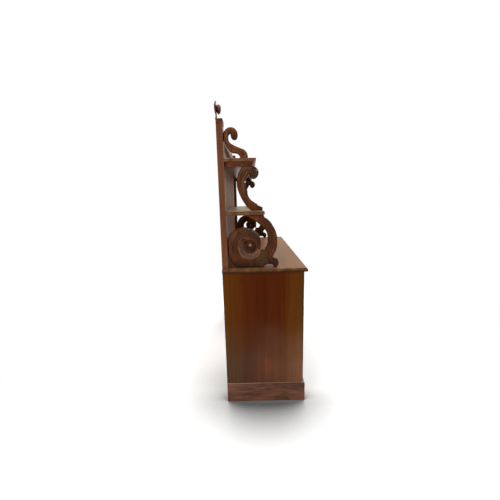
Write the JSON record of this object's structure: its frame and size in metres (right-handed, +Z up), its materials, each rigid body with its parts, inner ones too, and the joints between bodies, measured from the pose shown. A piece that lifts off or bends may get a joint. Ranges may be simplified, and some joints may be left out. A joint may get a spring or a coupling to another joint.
{
  "type": "sideboard",
  "caption": "Mahogany chiffonier sideboard: panelled cupboard with a frieze drawer under a moulded slab, and an open shelved gallery on scroll brackets.",
  "frame": {"origin": "on the floor, under the middle of the outline's width and depth", "axes": "+Z up, front faces -Y, +X to the right seen from the front"},
  "size_m": [1.242, 0.486, 1.698],
  "materials": {
    "case_mahogany": "french polished, dark red-brown",
    "top_mahogany": "french polished, rubbed and faded",
    "carved_mahogany": "polished carving, dark in the hollows",
    "gallery_panel_mahogany": "polished board",
    "flame_veneer": "figured veneer, french polished",
    "pine_inside": "unpolished pine",
    "old_brass": "aged brass",
    "lock_iron": "dull iron",
    "key_steel": "worn steel"
  },
  "bodies": {
    "carcase": {"side_left": "case_mahogany", "side_right": "case_mahogany", "front_stile_left": "case_mahogany", "front_stile_right": "case_mahogany", "bottom_board": "pine_inside", "carcase_back": "pine_inside", "top_front_rail": "case_mahogany", "drawer_rail": "case_mahogany", "cupboard_shelf": "pine_inside", "shelf_cleats": "pine_inside", "drawer_runners": "pine_inside", "drawer_kickers": "pine_inside", "door_stop": "pine_inside", "plinth_front": "case_mahogany", "plinth_ends": "case_mahogany", "plinth_back": "pine_inside", "plinth_blocks": "pine_inside", "top_board": "top_mahogany", "gallery_post_left": "case_mahogany", "gallery_post_right": "case_mahogany", "post_caps": "carved_mahogany", "gallery_back_board": "gallery_panel_mahogany", "gallery_top_rail": "case_mahogany", "gallery_lower_shelf": "top_mahogany", "gallery_upper_shelf": "top_mahogany", "upper_shelf_apron": "case_mahogany", "lower_brackets": "carved_mahogany", "middle_brackets": "carved_mahogany", "top_brackets": "carved_mahogany", "finial_leaves": "carved_mahogany", "finial_buds": "carved_mahogany", "case_hinges": "old_brass"},
    "drawer": {"drawer_front": "flame_veneer", "drawer_sides": "pine_inside", "drawer_back": "pine_inside", "drawer_bottom": "pine_inside", "drawer_knobs": "carved_mahogany"},
    "left_door": {"door_left_stiles": "case_mahogany", "door_left_top_rail": "case_mahogany", "door_left_bottom_rail": "case_mahogany", "door_left_panel": "flame_veneer", "door_left_moulding": "carved_mahogany", "door_left_hinges": "old_brass", "lock_keeper": "old_brass", "bolt_case": "old_brass"},
    "right_door": {"door_right_stiles": "case_mahogany", "door_right_top_rail": "case_mahogany", "door_right_bottom_rail": "case_mahogany", "door_right_panel": "flame_veneer", "door_right_moulding": "carved_mahogany", "door_right_hinges": "old_brass", "lock_case": "lock_iron", "escutcheon": "old_brass"},
    "door_bolt": {"cupboard_bolt": "key_steel"},
    "door_key": {"key": "key_steel"},
    "sliding_lock_bolt": {"lock_bolt": "lock_iron"}
  },
  "joints": [
    {"name": "left_door_hinge", "type": "hinge", "parent": "carcase", "child": "left_door", "pos_m": [-0.56025, -0.2218, 0.4], "axis": [0, 0, -1], "range_deg": [0, 105]},
    {"name": "right_door_hinge", "type": "hinge", "parent": "carcase", "child": "right_door", "pos_m": [0.56025, -0.2218, 0.4], "axis": [0, 0, 1], "range_deg": [0, 105]},
    {"name": "drawer_slide", "type": "slide", "parent": "carcase", "child": "drawer", "axis": [0, -1, 0], "range_m": [0, 0.3]},
    {"name": "cupboard_bolt_slide", "type": "slide", "parent": "left_door", "child": "door_bolt", "axis": [0, 0, 1], "range_m": [0, 0.014]},
    {"name": "key_turn", "type": "hinge", "parent": "right_door", "child": "door_key", "pos_m": [0.027, -0.2175, 0.396], "axis": [0, 1, 0], "range_deg": [0, 180]},
    {"name": "lock_bolt_slide", "type": "slide", "parent": "right_door", "child": "sliding_lock_bolt", "axis": [-1, 0, 0], "range_m": [0, 0.012]}
  ],
  "couplings": [
    {"joint": "key_turn", "follows": "lock_bolt_slide", "rad_per_m": 258}
  ]
}
